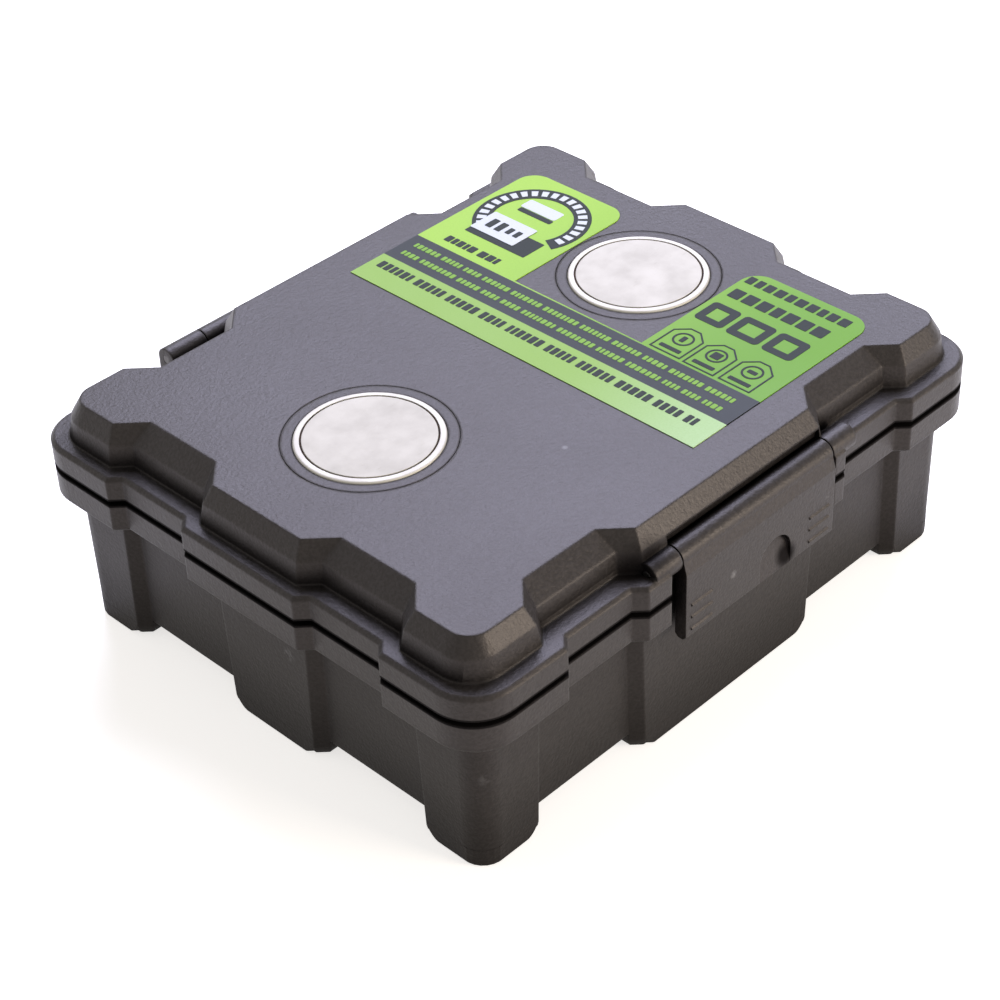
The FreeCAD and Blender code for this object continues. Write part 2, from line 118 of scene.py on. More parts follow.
class NodeTree:
    # put() adds any node, maths() the nodes behind an expression
    def __init__(self, tree):
        self.tree = tree
        self.tree.nodes.clear()
        self.place = None

    def put(self, kind, settings={}, inputs={}):
        node = self.tree.nodes.new(kind)
        for key, value in settings.items():
            setattr(node, key, value)
        for key, value in inputs.items():
            self.feed(node.inputs[key], value)
        return node

    def feed(self, socket, value):
        if isinstance(value, Val):
            self.tree.links.new(value.socket, socket)
        else:
            socket.default_value = value

    def out(self, node, key=0):
        return Val(self, node.outputs[key])

    def maths(self, operation, first, second=0.0, clamp=False):
        node = self.put("ShaderNodeMath", {"operation": operation, "use_clamp": clamp}, {0: first, 1: second})
        return self.out(node)

    def mixed(self, share, first, second):
        # colours: inputs 6 and 7 and output 2 are a Mix node's colour sockets
        node = self.put("ShaderNodeMix", {"data_type": "RGBA"}, {0: share, 6: first, 7: second})
        return self.out(node, 2)

    def eased(self, value, low, high):
        # 0 below low, 1 above high, smooth between
        node = self.put("ShaderNodeMapRange", {"interpolation_type": "SMOOTHSTEP"},
                        {"Value": value, "From Min": low, "From Max": high})
        return self.out(node)

    def spot(self):
        if self.place is None:
            self.place = self.out(self.put("ShaderNodeTexCoord"), "Object")
        return self.place

    def axes(self):
        node = self.put("ShaderNodeSeparateXYZ", {}, {0: self.spot()})
        return self.out(node, 0), self.out(node, 1), self.out(node, 2)

    def noise(self, perMetre, detail, rough, shift=(0, 0, 0), stretch=(1, 1, 1)):
        moved = self.put("ShaderNodeMapping", {},
                         {"Vector": self.spot(), "Location": shift, "Scale": stretch})
        node = self.put("ShaderNodeTexNoise", {},
                        {"Vector": self.out(moved), "Scale": perMetre, "Detail": detail, "Roughness": rough})
        return self.out(node)

    def near(self, point, inner, outer):
        # 1 within inner of a point, 0 past outer
        gap = self.put("ShaderNodeVectorMath", {"operation": "DISTANCE"}, {0: self.spot(), 1: point})
        return 1.0 - self.eased(self.out(gap, "Value"), inner, outer)

    def rounded(self, radius):
        # the normal as if every sharp edge had this radius
        return self.out(self.put("ShaderNodeBevel", {"samples": raySamples}, {"Radius": radius}))

    def bump(self, height, metres, strength, radius=0.0):
        inputs = {"Height": height, "Distance": metres, "Strength": strength}
        if radius:
            inputs["Normal"] = self.rounded(radius)
        return self.out(self.put("ShaderNodeBump", {}, inputs))

    def edges(self, radius, low, high):
        # 1 on sharp edges, 0 on flats: how far the rounded normal leans off the true one
        true = self.put("ShaderNodeNewGeometry")
        dot = self.put("ShaderNodeVectorMath", {"operation": "DOT_PRODUCT"},
                       {0: self.rounded(radius), 1: self.out(true, "Normal")})
        return self.eased(1.0 - self.out(dot, "Value"), low, high)

    def crowded(self, distance, low, high):
        # 0 in the open, 1 deep in a crease
        free = self.put("ShaderNodeAmbientOcclusion", {"samples": raySamples}, {"Distance": distance})
        return 1.0 - self.eased(self.out(free, "AO"), low, high)

    def whiteWhenSeen(self):
        # 1 for camera, glossy and transmission rays
        path = self.put("ShaderNodeLightPath")
        seen = self.out(path, "Is Camera Ray") + self.out(path, "Is Glossy Ray")
        return self.maths("ADD", seen, self.out(path, "Is Transmission Ray"), clamp=True)


class Finish(NodeTree):
    # one material and its main shader
    def __init__(self, name, kind="ShaderNodeBsdfPrincipled"):
        self.material = bpy.data.materials.new(name)
        self.material.use_nodes = True
        super().__init__(self.material.node_tree)
        self.shader = self.put(kind)
        self.output = self.put("ShaderNodeOutputMaterial", {}, {"Surface": self.out(self.shader)})

    def paintShade(self, share, colour):
        # gives way to a dull dark surface where share is 1: painted shade
        dull = self.put("ShaderNodeBsdfDiffuse", {}, {"Color": colour})
        both = self.put("ShaderNodeMixShader", {}, {0: share, 1: self.out(self.shader), 2: self.out(dull)})
        self.feed(self.output.inputs["Surface"], self.out(both))

    def set(self, **sockets):
        for key, value in sockets.items():
            self.feed(self.shader.inputs[key.replace("_", " ")], value)
        return self.material


def spread(value, width):
    # a noise turned into a swing about 0
    return (value - 0.5) * width


# In every look below a noise has its scale per metre, detail and roughness, and a range its two ends.
# Moulded plastic: fine spark-eroded grain, rubbed edges lightened partly as painted edge highlight, painted
# shade in the creases in the dull colour, a few pale scuffs
plasticLook = {
    "deep": (0.0100, 0.0082, 0.0074, 1),
    "pale": (0.0210, 0.0178, 0.0164, 1),
    "wornAndHighlit": (0.058, 0.054, 0.052, 1),
    "scuffed": (0.16, 0.155, 0.15, 1),
    "dull": (0.006, 0.005, 0.005, 1),
    "roughness": 0.43,
    "roughSpread": 0.10,
    "specular": 0.34,
    "sheen": (1.0, 0.88, 0.80, 1),
    "grain": (1500, 2.0, 0.55),
    "speck": (800, 3.0, 0.6),
    "cloud": (16, 4.0, 0.6),
    "rub": (240, 4.0, 0.7),
    "speckShare": 0.6,
    "paleRange": (0.6, 1.0),
    "rubRange": (0.35, 0.7),
    "wearAndHighlightShare": 0.7,
    "scuffCore": 0.2,
    "scuffGrain": 0.3,
    "scuffRange": (0.5, 0.75),
    "scuffShare": 0.8,
    "grainDepth": 0.00009,
    "grainStrength": 0.8,
    "edge": 0.0008,
    "edgeRange": (0.02, 0.25),
    "crease": 0.006,
    "creaseRange": (0.34, 0.76),
    "creaseShare": 0.92,
}
# The parting gap: painted shade keeps the lips of lid and base dull inside it
partingGap = {"low": 0.0425, "high": 0.0438, "lip": 0.0003, "share": 0.85}
# Painted shade at the foot of the plateau's walls, dull and dark above the ledge
plateauFoot = {"low": 0.0494, "level": 0.0500, "high": 0.0545, "halfDepth": 0.0600, "share": 0.7}
# Painted shade: the base's walls dull towards the floor
groundShade = {"share": 0.22, "more": 0.3, "height": 0.024, "wallRange": (0.034, 0.038)}


def gapPaintedShade(f, z, gap):
    above = f.eased(z, gap["low"] - gap["lip"] * 2, gap["low"] - gap["lip"])
    below = 1.0 - f.eased(z, gap["high"] + gap["lip"], gap["high"] + gap["lip"] * 2)
    return above * below * gap["share"]


def footPaintedShade(f, y, z, foot):
    within = f.maths("ABSOLUTE", y) < foot["halfDepth"]
    wall = f.eased(z, foot["low"], foot["level"]) * (1.0 - f.eased(z, foot["level"], foot["high"]))
    return wall * within * foot["share"]


def groundPaintedShade(f, z, ground):
    share = ground["share"] + (1.0 - f.eased(z, 0.0, ground["height"])) * ground["more"]
    return (1.0 - f.eased(z, *ground["wallRange"])) * share


def mouldedPlastic(name, look, shift=(0, 0, 0), gap=None, foot=None, ground=None, scuffs=(), recessShades=()):
    # a scuff has its point and reach, a painted recess shade its point, inner and outer reach and share
    f = Finish(name)
    _, y, z = f.axes()
    paintedShades = [f.near(point, inner, outer) * share for point, inner, outer, share in recessShades]
    if gap:
        paintedShades.append(gapPaintedShade(f, z, gap))
    if foot:
        paintedShades.append(footPaintedShade(f, y, z, foot))
    if ground:
        paintedShades.append(groundPaintedShade(f, z, ground))
    # painted shade: creases darken where ambient occlusion is low, and so do the places listed above
    dark = f.crowded(look["crease"], *look["creaseRange"]) * look["creaseShare"]
    for shade in paintedShades:
        dark = f.maths("MAXIMUM", dark, shade)
    f.paintShade(dark, look["dull"])
    grain = f.noise(*look["grain"], shift)
    speck = f.noise(*look["speck"], shift)
    cloud = f.noise(*look["cloud"], shift)
    rub = f.noise(*look["rub"], shift)
    # edges lighter where the rub noise is high: partly rubbed wear, partly painted edge highlight
    wearAndHighlight = f.edges(look["edge"], *look["edgeRange"]) * f.eased(rub, *look["rubRange"])
    pale = f.eased(grain + speck * look["speckShare"], *look["paleRange"])
    colour = f.mixed(pale, look["deep"], look["pale"])
    colour = f.mixed(wearAndHighlight * look["wearAndHighlightShare"], colour, look["wornAndHighlit"])
    for point, reach in scuffs:
        rubbed = f.eased(rub + grain * look["scuffGrain"], *look["scuffRange"])
        mark = f.near(point, reach * look["scuffCore"], reach) * rubbed
        colour = f.mixed(mark * look["scuffShare"], colour, look["scuffed"])
    rough = look["roughness"] + spread(cloud, look["roughSpread"]) + spread(speck, look["roughSpread"])
    normal = f.bump(grain + speck, look["grainDepth"], look["grainStrength"], look["edge"])
    return f.set(Base_Color=colour, Roughness=rough, Normal=normal, Specular_IOR_Level=look["specular"],
                 Specular_Tint=look["sheen"])


# Plated steel: cloudy, with faint scratches one way
metalLook = {
    "bright": (0.47, 0.44, 0.385, 1),
    "dull": (0.41, 0.385, 0.34, 1),
    "roughness": 0.80,
    "roughSpread": 0.12,
    "cloud": (120, 5.0, 0.65),
    "cloudRange": (0.35, 0.75),
    "dullShare": 0.6,
    "fine": (2600, 2.0, 0.6),
    "scratch": (220, 4.0, 0.7),
    "stretch": (1, 14, 1),
    "scratchRange": (0.62, 0.70),
    "scratchRough": 0.08,
    "scratchHeight": 0.4,
    "depth": 0.00001,
    "strength": 0.35,
    "edge": 0.0003,
}
cupLook = dict(metalLook, roughness=0.70)
zincLook = dict(metalLook, roughness=0.40)
# The pins: a darker copy of the plated steel, painted shade on the pin ends at the knuckles
shadedPinLook = dict(metalLook, roughness=0.45, bright=(0.10, 0.095, 0.09, 1), dull=(0.06, 0.055, 0.05, 1))


def platedSteel(name, look, shift=(0, 0, 0)):
    f = Finish(name)
    cloud = f.noise(*look["cloud"], shift)
    fine = f.noise(*look["fine"], shift)
    scratch = f.eased(f.noise(*look["scratch"], shift, look["stretch"]), *look["scratchRange"])
    dull = f.eased(cloud, *look["cloudRange"]) * look["dullShare"]
    rough = look["roughness"] + spread(cloud, look["roughSpread"]) + scratch * look["scratchRough"]
    height = fine + scratch * look["scratchHeight"]
    return f.set(Base_Color=f.mixed(dull, look["bright"], look["dull"]), Metallic=1.0, Roughness=rough,
                 Normal=f.bump(height, look["depth"], look["strength"], look["edge"]))


rubberLook = {
    "deep": (0.012, 0.012, 0.013, 1),
    "pale": (0.030, 0.030, 0.031, 1),
    "roughness": 0.7,
    "roughSpread": 0.15,
    "fine": (1800, 3.0, 0.6),
    "cloud": (60, 3.0, 0.5),
    "depth": 0.00003,
    "strength": 0.4,
}


def softRubber(name, look):
    f = Finish(name)
    fine = f.noise(*look["fine"])
    cloud = f.noise(*look["cloud"])
    return f.set(Base_Color=f.mixed(cloud, look["deep"], look["pale"]),
                 Roughness=look["roughness"] + spread(fine, look["roughSpread"]),
                 Normal=f.bump(fine, look["depth"], look["strength"]))


resinLook = {
    "deep": (0.020, 0.011, 0.006, 1),
    "pale": (0.070, 0.040, 0.022, 1),
    "roughness": 0.6,
    "roughSpread": 0.3,
    "specular": 0.06,
    "fine": (900, 4.0, 0.6),
    "paleRange": (0.35, 0.7),
    "depth": 0.00008,
    "strength": 0.5,
}


def darkResin(name, look):
    f = Finish(name)
    fine = f.noise(*look["fine"])
    pale = f.eased(fine, *look["paleRange"])
    return f.set(Base_Color=f.mixed(pale, look["deep"], look["pale"]),
                 Roughness=look["roughness"] + spread(fine, look["roughSpread"]),
                 Normal=f.bump(fine, look["depth"], look["strength"]), Specular_IOR_Level=look["specular"])


# Printed film: a green stripe that pales towards the front with painted reflection, green panels with painted
# light and shade from a shaded green at the front to a bright one at the back, a dark band between them
filmLook = {
    "stripe": (0.27, 0.43, 0.07, 1),
    "paintedReflection": (0.42, 0.58, 0.26, 1),
    "reflectionRange": (0.010, 0.060),
    "shaded": (0.14, 0.32, 0.012, 1),
    "bright": (0.35, 0.56, 0.055, 1),
    "panelRange": (-0.045, 0.045),
    "fleck": (0.16, 0.33, 0.03, 1),
    "fleckRange": (0.3, 0.8),
    "fleckShare": 0.15,
    "dark": (0.014, 0.016, 0.013, 1),
    "bandFrom": 0.0105,
    "bandTo": 0.0213,
    "roughness": 0.42,
    "roughSpread": 0.16,
    "specular": 0.13,
    "fine": (2200, 2.0, 0.6),
    "cloud": (35, 4.0, 0.6),
    "depth": 0.00001,
    "strength": 0.3,
}


def printedFilm(name, look):
    f = Finish(name)
    x, y, _ = f.axes()
    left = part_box("lid_sheet")[0].x
    inBand = (x > left + look["bandFrom"]) * (x < left + look["bandTo"])
    fine = f.noise(*look["fine"])
    cloud = f.noise(*look["cloud"])
    # painted reflection pales the stripe towards the front; painted light and shade runs across the panels
    stripe = f.mixed(f.eased(0.0 - y, *look["reflectionRange"]), look["stripe"], look["paintedReflection"])
    panel = f.mixed(f.eased(y, *look["panelRange"]), look["shaded"], look["bright"])
    green = f.mixed(x > left + look["bandFrom"], stripe, panel)
    green = f.mixed(f.eased(fine, *look["fleckRange"]) * look["fleckShare"], green, look["fleck"])
    return f.set(Base_Color=f.mixed(inBand, green, look["dark"]),
                 Roughness=look["roughness"] + spread(cloud, look["roughSpread"]),
                 Normal=f.bump(fine, look["depth"], look["strength"]), Specular_IOR_Level=look["specular"])


inkLook = {
    "fine": (2400, 3.0, 0.6),
    "shadeRange": (0.3, 0.8),
    "shadeShare": 0.35,
    "shade": 0.8,
    "roughness": 0.48,
    "roughSpread": 0.2,
    "specular": 0.10,
}


def inkFinish(name, look, colour):
    f = Finish(name)
    fine = f.noise(*look["fine"])
    shade = tuple(look["shade"] * c for c in colour[:3]) + (1,)
    share = f.eased(fine, *look["shadeRange"]) * look["shadeShare"]
    return f.set(Base_Color=f.mixed(share, colour, shade),
                 Roughness=look["roughness"] + spread(fine, look["roughSpread"]),
                 Specular_IOR_Level=look["specular"])


def dress(material, *names):
    for name in names:
        node = nodes[name]
        node.data.materials.clear()
        node.data.materials.append(material)


# Shifts of the noises, which set one finish's marks apart from another's
noiseShift = {
    "base": (0.4, 0.1, 0.2),
    "flap": (0.2, 0.5, 0.3),
    "collar": (0.7, 0.2, 0.6),
    "cup": (0.3, 0.3, 0.1),
    "zinc": (0.1, 0.9, 0.4),
    "pin": (0.5, 0.2, 0.7),
}
# Painted shade in the corner beside the latch knuckle and in the deep end of the flap's scoop
lidRecessShades = [((-0.0262, -0.0600, 0.0490), 0.0045, 0.0085, 0.9)]
flapRecessShades = [((0.0118, -0.0678, 0.0326), 0.0012, 0.0040, 0.9)]
lidScuffs = [((-0.0165, -0.0321, 0.0585), 0.0009)]
baseScuffs = [((-0.0743, -0.0380, 0.0276), 0.0016), ((-0.0743, -0.0085, 0.0266), 0.0022),
              ((-0.0732, -0.0632, 0.0240), 0.0026)]
flapScuffs = [((-0.0055, -0.0680, 0.0380), 0.0013), ((0.0247, -0.0680, 0.0400), 0.0010)]
flapLook = dict(plasticLook, edge=0.0003)
dividerLook = dict(plasticLook, deep=(0.030, 0.030, 0.032, 1), pale=(0.055, 0.055, 0.058, 1), roughness=0.5)

# Painted shade: lid and base in the parting gap, the lid at the plateau's foot and beside the latch knuckle,
# the base towards the floor, the flap in its scoop
dress(mouldedPlastic("lidPlastic", plasticLook, gap=partingGap, foot=plateauFoot, scuffs=lidScuffs,
                     recessShades=lidRecessShades), "lid_shell")
dress(mouldedPlastic("basePlastic", plasticLook, noiseShift["base"], gap=partingGap, ground=groundShade,
                     scuffs=baseScuffs), "base_shell")
dress(mouldedPlastic("flapPlastic", flapLook, noiseShift["flap"], scuffs=flapScuffs,
                     recessShades=flapRecessShades), "latch_flap")
dress(mouldedPlastic("collarPlastic", plasticLook, noiseShift["collar"]),
      "magnet_collar_near", "magnet_collar_far")
dress(mouldedPlastic("dividerPlastic", dividerLook),
      "divider_long", "divider_cross_left", "divider_cross_right")
dress(softRubber("sealRubber", rubberLook), "lid_seal")
dress(platedSteel("nickelDisc", metalLook), "magnet_disc_near", "magnet_disc_far")
dress(platedSteel("nickelCup", cupLook, noiseShift["cup"]), "magnet_pot_near", "magnet_pot_far")
dress(darkResin("gapResin", resinLook), "magnet_filler_near", "magnet_filler_far")
dress(platedSteel("zincSteel", zincLook, noiseShift["zinc"]), "magnet_screws", "magnet_washers")
dress(platedSteel("darkSteel", shadedPinLook, noiseShift["pin"]), "hinge_pin", "latch_pin")
dress(printedFilm("printedFilm", filmLook), "lid_sheet")
print("finishes set")

# Points nearer than this are one
weldGap = 1e-7


def gridFaces(rows, columns, closeRows):
    # quads between neighbours of a rows by columns grid; columns wrap round, rows where asked
    row = np.arange(rows if closeRows else rows - 1)[:, None]
    column = np.arange(columns)[None, :]
    start, end = row * columns, (row + 1) % rows * columns
    beside = (column + 1) % columns
    return np.stack([start + column, end + column, end + beside, start + beside], -1).reshape(-1, 4)


def pieceFrom(name, grids, material, body, closeRows=False):
    # grids is copies x rows x columns x 3; every copy gets the same faces
    copies, rows, columns, _ = grids.shape
    faces = gridFaces(rows, columns, closeRows)
    faces = (faces[None] + (np.arange(copies) * rows * columns)[:, None, None]).reshape(-1, 4)
    mesh = bpy.data.meshes.new(name)
    mesh.from_pydata(grids.reshape(-1, 3), [], faces)
    form = bmesh.new()
    form.from_mesh(mesh)
    bmesh.ops.remove_doubles(form, verts=form.verts, dist=weldGap)
    bmesh.ops.recalc_face_normals(form, faces=form.faces)
    form.to_mesh(mesh)
    form.free()
    mesh.materials.append(material)
    piece = bpy.data.objects.new(name, mesh)
    scene.collection.objects.link(piece)
    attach(piece, body)
    return piece


# Feet: the lower ends of the pillars, a small rounding outward and a large one at their ends.
# Places count from the middle between front and rear.
footPlan = {
    "outerX": 0.07441,
    "outerY": 0.06191,
    "middle": -0.000825,
    "endX": 0.05876,
    "endY": 0.04596,
    "midX": 0.02634,
    "midY": 0.01224,
    "step": 0.0025,
    "depth": 0.0150,
    "corner": 0.0054,
    "arcStep": 15,
    "lipRound": 0.0012,
    "endRound": 0.0046,
    "proud": 0.00004,
    "height": 0.0048,
    "levels": 12,
}
diagonal = math.sqrt(0.5)


def offsetCorners(normals, distances):
    # where each side of a convex outline meets the next, level by level
    nextNormals, nextDistances = np.roll(normals, -1, 0), np.roll(distances, -1, -1)
    cross = normals[:, 0] * nextNormals[:, 1] - normals[:, 1] * nextNormals[:, 0]
    x = (distances * nextNormals[:, 1] - nextDistances * normals[:, 1]) / cross
    y = (nextDistances * normals[:, 0] - distances * nextNormals[:, 0]) / cross
    return np.stack([x, y], -1)


def footSole(plan, centre, sides):
    # a side has the angle of its outward normal, its distance from the centre and the radius below it;
    # at height z a side stands in by radius - sqrt(radius^2 - (radius - z)^2)
    angle, distance, radius = np.array(sides, float).T
    normals = np.stack([np.cos(np.radians(angle)), np.sin(np.radians(angle))], -1)
    z = plan["height"] * (1 - np.cos(np.linspace(0, np.pi / 2, plan["levels"])))
    under = np.clip(radius[None] - z[:, None], 0, None)
    inset = radius - np.sqrt(radius ** 2 - under ** 2)
    rings = offsetCorners(normals, distance + plan["proud"] - inset)
    rings = np.concatenate([rings[:1] * 0, rings, rings[-1:] * 0])
    height = np.concatenate([z[:1], z, z[-1:]])[:, None, None]
    return np.concatenate([rings + centre, np.broadcast_to(height, rings.shape[:2] + (1,))], -1)


def cornerSole(plan, signX, signY):
    # worked out for the +X +Y foot about its corner arc's centre, then mirrored
    small, large, r = plan["lipRound"], plan["endRound"], plan["corner"]
    centre = np.array([plan["outerX"] - r, plan["outerY"] - r])
    reachX, reachY = centre[0] - plan["endX"], centre[1] - plan["endY"]
    sides = [(angle, r, small) for angle in range(0, 91, plan["arcStep"])]
    sides += [(135, diagonal * (r + reachX), large), (180, reachX + plan["step"], large),
              (270, reachY + plan["step"], large), (315, diagonal * (r + reachY), large)]
    grid = footSole(plan, centre, sides) * np.array([signX, signY, 1.0])
    return grid + np.array([0, plan["middle"], 0])


def middleSole(plan, outer, half, turn):
    # worked out for the +X side, then turned about the box's middle
    small, large = plan["lipRound"], plan["endRound"]
    reach = plan["depth"] / 2
    slant = diagonal * (reach + half)
    sides = [(0, reach, small), (45, slant, large), (90, half + plan["step"], large), (180, reach, large),
             (270, half + plan["step"], large), (315, slant, large)]
    x, y, z = np.moveaxis(footSole(plan, np.array([outer - reach, 0.0]), sides), -1, 0)
    c, s = math.cos(math.radians(turn)), math.sin(math.radians(turn))
    return np.stack([x * c - y * s, x * s + y * c + plan["middle"], z], -1)


# The soles carry the base's painted shade towards the floor
solePlastic = mouldedPlastic("solePlastic", dict(plasticLook, edge=0.0002), noiseShift["base"],
                             ground=groundShade)
corners = [cornerSole(footPlan, signX, signY) for signX in (-1, 1) for signY in (-1, 1)]
middles = [middleSole(footPlan, footPlan["outerX"], footPlan["midY"], turn) for turn in (0, 180)]
middles += [middleSole(footPlan, footPlan["outerY"], footPlan["midX"], turn) for turn in (90, 270)]
pieceFrom("cornerSoles", np.stack(corners), solePlastic, "base")
pieceFrom("middleSoles", np.stack(middles), solePlastic, "base")
print("feet done")

# Print on the sheet: plain marks in rows, a ring badge, blocks and framed plaques.
# Places count in millimetres from the sheet's left edge and its middle line.
printPlan = {
    "thick": 0.00006,
    "sunk": 0.00002,
    "corner": 0.25,
    "frameCorner": 1.2,
    "leastCorner": 0.1,
    "roundest": 0.98,
    "count": 24,
    "arcCount": 8,
    "seed": 7,
}
sheetLow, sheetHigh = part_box("lid_sheet")


def printPlace(flat):
    # millimetres on the sheet to metres in the frame
    flat = np.asarray(flat, float) / 1000
    return flat + np.array([sheetLow.x, (sheetLow.y + sheetHigh.y) / 2])


def levels(layer):
    # upper and lower face of a print layer; layer 1 lies on the sheet
    top = sheetHigh.z + printPlan["thick"] * layer
    return top, sheetHigh.z + printPlan["thick"] * (layer - 1) - printPlan["sunk"]


def roundedOutline(halves, radius):
    # a circle cut in four quarters, each moved out to its corner
    count = printPlan["count"]
    angle = (np.arange(count) + 0.5) / count * 2 * np.pi
    turn = np.stack([np.cos(angle), np.sin(angle)], -1)
    return np.sign(turn) * (halves - radius[:, None])[:, None] + radius[:, None, None] * turn


def solidPrint(name, centres, outlines, material, layer=1):
    # flat closed forms: the outline shrinks to its centre over the top and under the bottom
    high, low = levels(layer)
    shrink = np.array([0.0, 1.0, 1.0, 0.0])[None, :, None, None]
    flat = printPlace(np.asarray(centres, float)[:, None, None] + outlines[:, None] * shrink)
    z = np.broadcast_to(np.array([high, high, low, low])[None, :, None, None], flat.shape[:3] + (1,))
    return pieceFrom(name, np.concatenate([flat, z], -1), material, "lid")


def framePrint(name, centres, outer, inner, material):
    # frames between two outlines: a four-cornered section carried once round
    high, low = levels(1)
    centres = np.asarray(centres, float)[:, None]
    rows = [(outer, high), (inner, high), (inner, low), (outer, low)]
    grids = [np.concatenate([printPlace(centres + outline), np.full(outline.shape[:2] + (1,), z)], -1)
             for outline, z in rows]
    return pieceFrom(name, np.stack(grids, 1), material, "lid", closeRows=True)


def cornerRadius(halves, corner):
    # never so large that two corners meet
    return np.minimum(halves.min(1) * printPlan["roundest"], corner)


def bars(name, centres, halves, material, layer=1, corner=printPlan["corner"]):
    # rounded rectangles
    halves = np.asarray(halves, float)
    return solidPrint(name, centres, roundedOutline(halves, cornerRadius(halves, corner)), material, layer)


def hollows(name, centres, halves, width, material, corner=printPlan["frameCorner"]):
    # rounded frames of one width
    halves = np.asarray(halves, float)
    radius = cornerRadius(halves, corner)
    inner = roundedOutline(halves - width, np.maximum(radius - width, printPlan["leastCorner"]))
    return framePrint(name, centres, roundedOutline(halves, radius), inner, material)


def sectors(name, centre, inner, outer, angles, halfAngle, material, layer=1):
    # ring sectors: round along the outer arc and back along the inner one
    count = printPlan["arcCount"]
    sweep = np.linspace(-halfAngle, halfAngle, count)
    angle = np.radians(np.asarray(angles, float)[:, None] + np.concatenate([sweep, sweep[::-1]]))
    reach = np.concatenate([np.full(count, outer), np.full(count, inner)])
    points = np.stack([np.cos(angle) * reach, np.sin(angle) * reach], -1)
    middle = points.mean(1, keepdims=True)
    return solidPrint(name, middle[:, 0] + np.asarray(centre, float), points - middle, material, layer)


def markRow(rng, x, halfX, fromY, toY, widths, gap, groupGap, groupSize):
    # centres and half sizes of the marks along one line, in groups with wider gaps between them
    lengths, starts, at = [], [], 0.0
    while True:
        for _ in range(rng.integers(*groupSize)):
            length = rng.uniform(*widths)
            if at + length > fromY - toY:
                y = fromY - np.array(starts) - np.array(lengths) / 2
                sizes = np.stack([np.full(y.shape, halfX), np.array(lengths) / 2], -1)
                return np.stack([np.full(y.shape, x), y], -1), sizes
            starts.append(at)
            lengths.append(length)
            at += length + gap
        at += groupGap


rng = np.random.default_rng(printPlan["seed"])
inkColours = {
    "dark": (0.016, 0.020, 0.014, 1),
    "green": (0.22, 0.41, 0.05, 1),
    "white": (0.66, 0.67, 0.64, 1),
}
darkInk = inkFinish("darkInk", inkLook, inkColours["dark"])
greenInk = inkFinish("greenInk", inkLook, inkColours["green"])
whiteInk = inkFinish("whiteInk", inkLook, inkColours["white"])

# The stripe's row, then the band's two rows
stripeRow = {"x": 7.0, "halfX": 1.35, "fromY": 48.6, "toY": -47.4,
             "widths": (1.0, 1.6), "gap": 0.5, "groupGap": 1.0, "groupSize": (3, 7)}
bandRow = {"halfX": 0.85, "fromY": 48.2, "toY": -47.6,
           "widths": (0.7, 1.2), "gap": 0.35, "groupGap": 0.8, "groupSize": (4, 9)}
bandPlaces = (17.9, 13.8)
bars("stripeMarks", *markRow(rng, **stripeRow), darkInk)
for index, x in enumerate(bandPlaces):
    bars(f"bandMarks{index}", *markRow(rng, x, **bandRow), greenInk)

# Left panel: a ring badge with ticks, angles in degrees from +X towards +Y
badge = {"centre": (43.4, 35.5), "inner": 9.8, "outer": 14.0, "from": -118.0, "to": 142.0,
         "step": 4.0, "half": 2.02}
ticks = {"inner": 10.8, "outer": 13.0, "from": -104.0, "to": 136.0, "count": 21, "half": 3.6}
sweepAngles = np.arange(badge["from"], badge["to"], badge["step"]) + badge["step"] / 2
tickAngles = np.linspace(ticks["from"], ticks["to"], ticks["count"])
sectors("badgeRing", badge["centre"], badge["inner"], badge["outer"], sweepAngles, badge["half"], darkInk)
sectors("badgeTicks", badge["centre"], ticks["inner"], ticks["outer"], tickAngles, ticks["half"], whiteInk,
        layer=2)

# A plain plaque over the badge on its dark base, with four marks, and a slab with a dark side
backing = {"centre": (33.6, 34.9), "half": (3.6, 9.4)}
plaque = {"centre": (36.2, 37.6), "half": (4.3, 6.8), "corner": 0.4}
plaqueMarks = {"x": 36.2, "y": (41.2, 38.4, 35.6, 33.2),
               "halves": [(1.9, 0.9), (1.9, 0.9), (1.3, 0.7), (1.3, 0.7)]}
slab = {"centre": (48.2, 36.6), "half": (1.9, 5.4), "corner": 0.6}
slabSide = {"centre": (45.3, 36.2), "half": (0.8, 5.2), "corner": 0.4}
bars("badgeBase", [backing["centre"]], [backing["half"]], darkInk)
bars("badgePlaque", [plaque["centre"]], [plaque["half"]], whiteInk, layer=3, corner=plaque["corner"])
bars("plaqueMarks", [(plaqueMarks["x"], y) for y in plaqueMarks["y"]], plaqueMarks["halves"], darkInk,
     layer=4)
bars("badgeSlab", [slab["centre"]], [slab["half"]], whiteInk, corner=slab["corner"])
bars("badgeSlabSide", [slabSide["centre"]], [slabSide["half"]], darkInk, corner=slabSide["corner"])

# One small row below the badge
smallRow = {"x": 24.9, "halfX": 1.2, "fromY": 45.0, "toY": 27.0,
            "widths": (1.0, 2.2), "gap": 0.4, "groupGap": 0.9, "groupSize": (4, 7)}
bars("makerRow", *markRow(rng, **smallRow), darkInk)

# Right panel: two rows and three big plain blocks
topRow = {"x": 56.4, "halfX": 1.45, "fromY": -18.8, "toY": -47.2,
          "widths": (1.7, 2.6), "gap": 0.7, "groupGap": 0.0, "groupSize": (9, 10)}
secondRow = {"x": 50.0, "halfX": 1.85, "fromY": -19.4, "toY": -47.8,
             "widths": (2.4, 3.6), "gap": 0.8, "groupGap": 0.0, "groupSize": (8, 9)}
blocks = {"x": 40.8, "y": (-23.2, -32.6, -42.2), "halfX": 4.0, "halfY": (3.9, 4.4, 4.1), "width": 2.0}
bars("panelRowTop", *markRow(rng, **topRow), darkInk)
bars("panelRowSecond", *markRow(rng, **secondRow), darkInk)
hollows("panelBlocks", [(blocks["x"], y) for y in blocks["y"]],
        [(blocks["halfX"], halfY) for halfY in blocks["halfY"]], blocks["width"], darkInk)

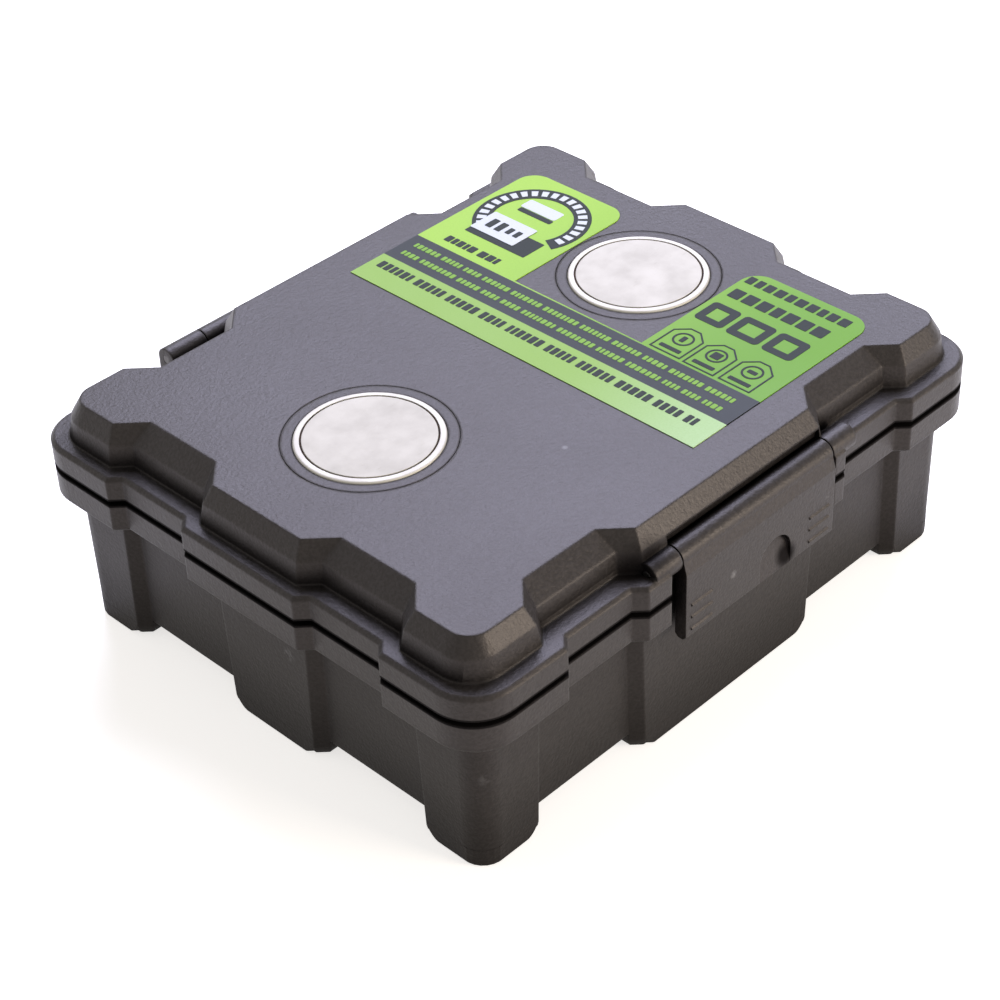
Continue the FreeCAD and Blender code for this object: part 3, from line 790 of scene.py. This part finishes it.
# Three framed plaques, each with a ring, a dot in it and a foot below
framed = {
    "centres": np.array([(27.6, -23.8), (27.4, -33.3), (27.6, -43.0)]),
    "outer": (5.4, 4.3, 2.6),
    "inner": (5.0, 3.9, 2.4),
    "ringShift": (1.0, 0.0),
    "ringHalf": 2.5,
    "ringWidth": 0.5,
    "dotHalves": [(1.1, 0.6), (1.2, 1.2), (0.6, 1.2)],
    "footShift": (3.4, 0.0),
    "footHalf": (0.6, 2.9),
}


def plaqueOutline(halfX, halfY, peak):
    # a rectangle whose +X end narrows to a blunt tip a third as wide
    return np.array([(-halfX, -halfY), (halfX - peak, -halfY), (halfX, -halfY / 3),
                     (halfX, halfY / 3), (halfX - peak, halfY), (-halfX, halfY)])


def repeated(outline, copies):
    # the same outline for every copy
    return np.broadcast_to(outline, (copies,) + outline.shape)


copies = len(framed["centres"])
ringCentres = framed["centres"] + framed["ringShift"]
framePrint("plaqueFrames", framed["centres"], repeated(plaqueOutline(*framed["outer"]), copies),
           repeated(plaqueOutline(*framed["inner"]), copies), darkInk)
hollows("plaqueRings", ringCentres, [(framed["ringHalf"], framed["ringHalf"])] * copies, framed["ringWidth"],
        darkInk, corner=framed["ringHalf"])
bars("plaqueDots", ringCentres, framed["dotHalves"], darkInk)
bars("plaqueFeet", framed["centres"] - framed["footShift"], [framed["footHalf"]] * copies, darkInk)
print("print on the sheet done")

# Stage: floor, world and lamps
stagePlan = {
    "halfWidth": 3.0,
    "below": 0.00005,
    "floorDark": (0.83, 0.79, 0.74, 1),
    "floorPale": (0.86, 0.82, 0.77, 1),
    "grain": (40, 3.0, 0.5),
    "lift": 0.73,
    "glow": (1.0, 0.98, 0.96, 1),
    "ambient": 0.30,
    "aim": (0, 0, 0.03),
}


def makeFloor(plan):
    f = Finish("floorPaper", "ShaderNodeBsdfDiffuse")
    f.set(Color=f.mixed(f.noise(*plan["grain"]), plan["floorDark"], plan["floorPale"]))
    strength = f.whiteWhenSeen() * plan["lift"]
    glow = f.put("ShaderNodeEmission", {}, {"Color": plan["glow"], "Strength": strength})
    both = f.put("ShaderNodeAddShader", {}, {0: f.out(f.shader), 1: f.out(glow)})
    f.feed(f.output.inputs["Surface"], f.out(both))
    corner = np.array([[-1, -1], [1, -1], [1, 1], [-1, 1]]) * plan["halfWidth"]
    mesh = bpy.data.meshes.new("floor")
    mesh.from_pydata(np.concatenate([corner, np.full((4, 1), -plan["below"])], 1), [], [(0, 1, 2, 3)])
    mesh.materials.append(f.material)
    floor = bpy.data.objects.new("floor", mesh)
    scene.collection.objects.link(floor)


def makeWorld(ambient):
    world = bpy.data.worlds.new("studio")
    scene.world = world
    world.use_nodes = True
    f = NodeTree(world.node_tree)
    strength = f.whiteWhenSeen() * (1 - ambient) + ambient
    sky = f.put("ShaderNodeBackground", {}, {"Color": (1, 1, 1, 1), "Strength": strength})
    f.put("ShaderNodeOutputWorld", {}, {"Surface": f.out(sky)})


lampPlan = {
    "backBox": {"azimuth": 127, "elevation": 49, "distance": 1.1, "size": (0.85, 0.65), "power": 20.5,
                "colour": (0.68, 0.72, 1.0)},
    "rightBox": {"azimuth": 21, "elevation": 13, "distance": 1.2, "size": (0.5, 0.4), "power": 12.0,
                 "colour": (1.0, 0.92, 0.82)},
    "leftBox": {"azimuth": -125, "elevation": 24, "distance": 1.3, "size": (0.6, 0.5), "power": 0.6,
                "colour": (0.90, 0.94, 1.0)},
}


def makeLamp(name, plan):
    towards = aimed(plan["azimuth"], plan["elevation"])
    data = bpy.data.lights.new(name, "AREA")
    data.shape = "RECTANGLE"
    data.size, data.size_y = plan["size"]
    data.energy = plan["power"]
    data.color = plan["colour"]
    lamp = bpy.data.objects.new(name, data)
    scene.collection.objects.link(lamp)
    turn = towards.to_track_quat("Z", "Y").to_matrix().to_4x4()
    lamp.matrix_world = Matrix.Translation(Vector(stagePlan["aim"]) + towards * plan["distance"]) @ turn


makeFloor(stagePlan)
makeWorld(stagePlan["ambient"])
for lampName, plan in lampPlan.items():
    makeLamp(lampName, plan)
print("stage and lamps set")
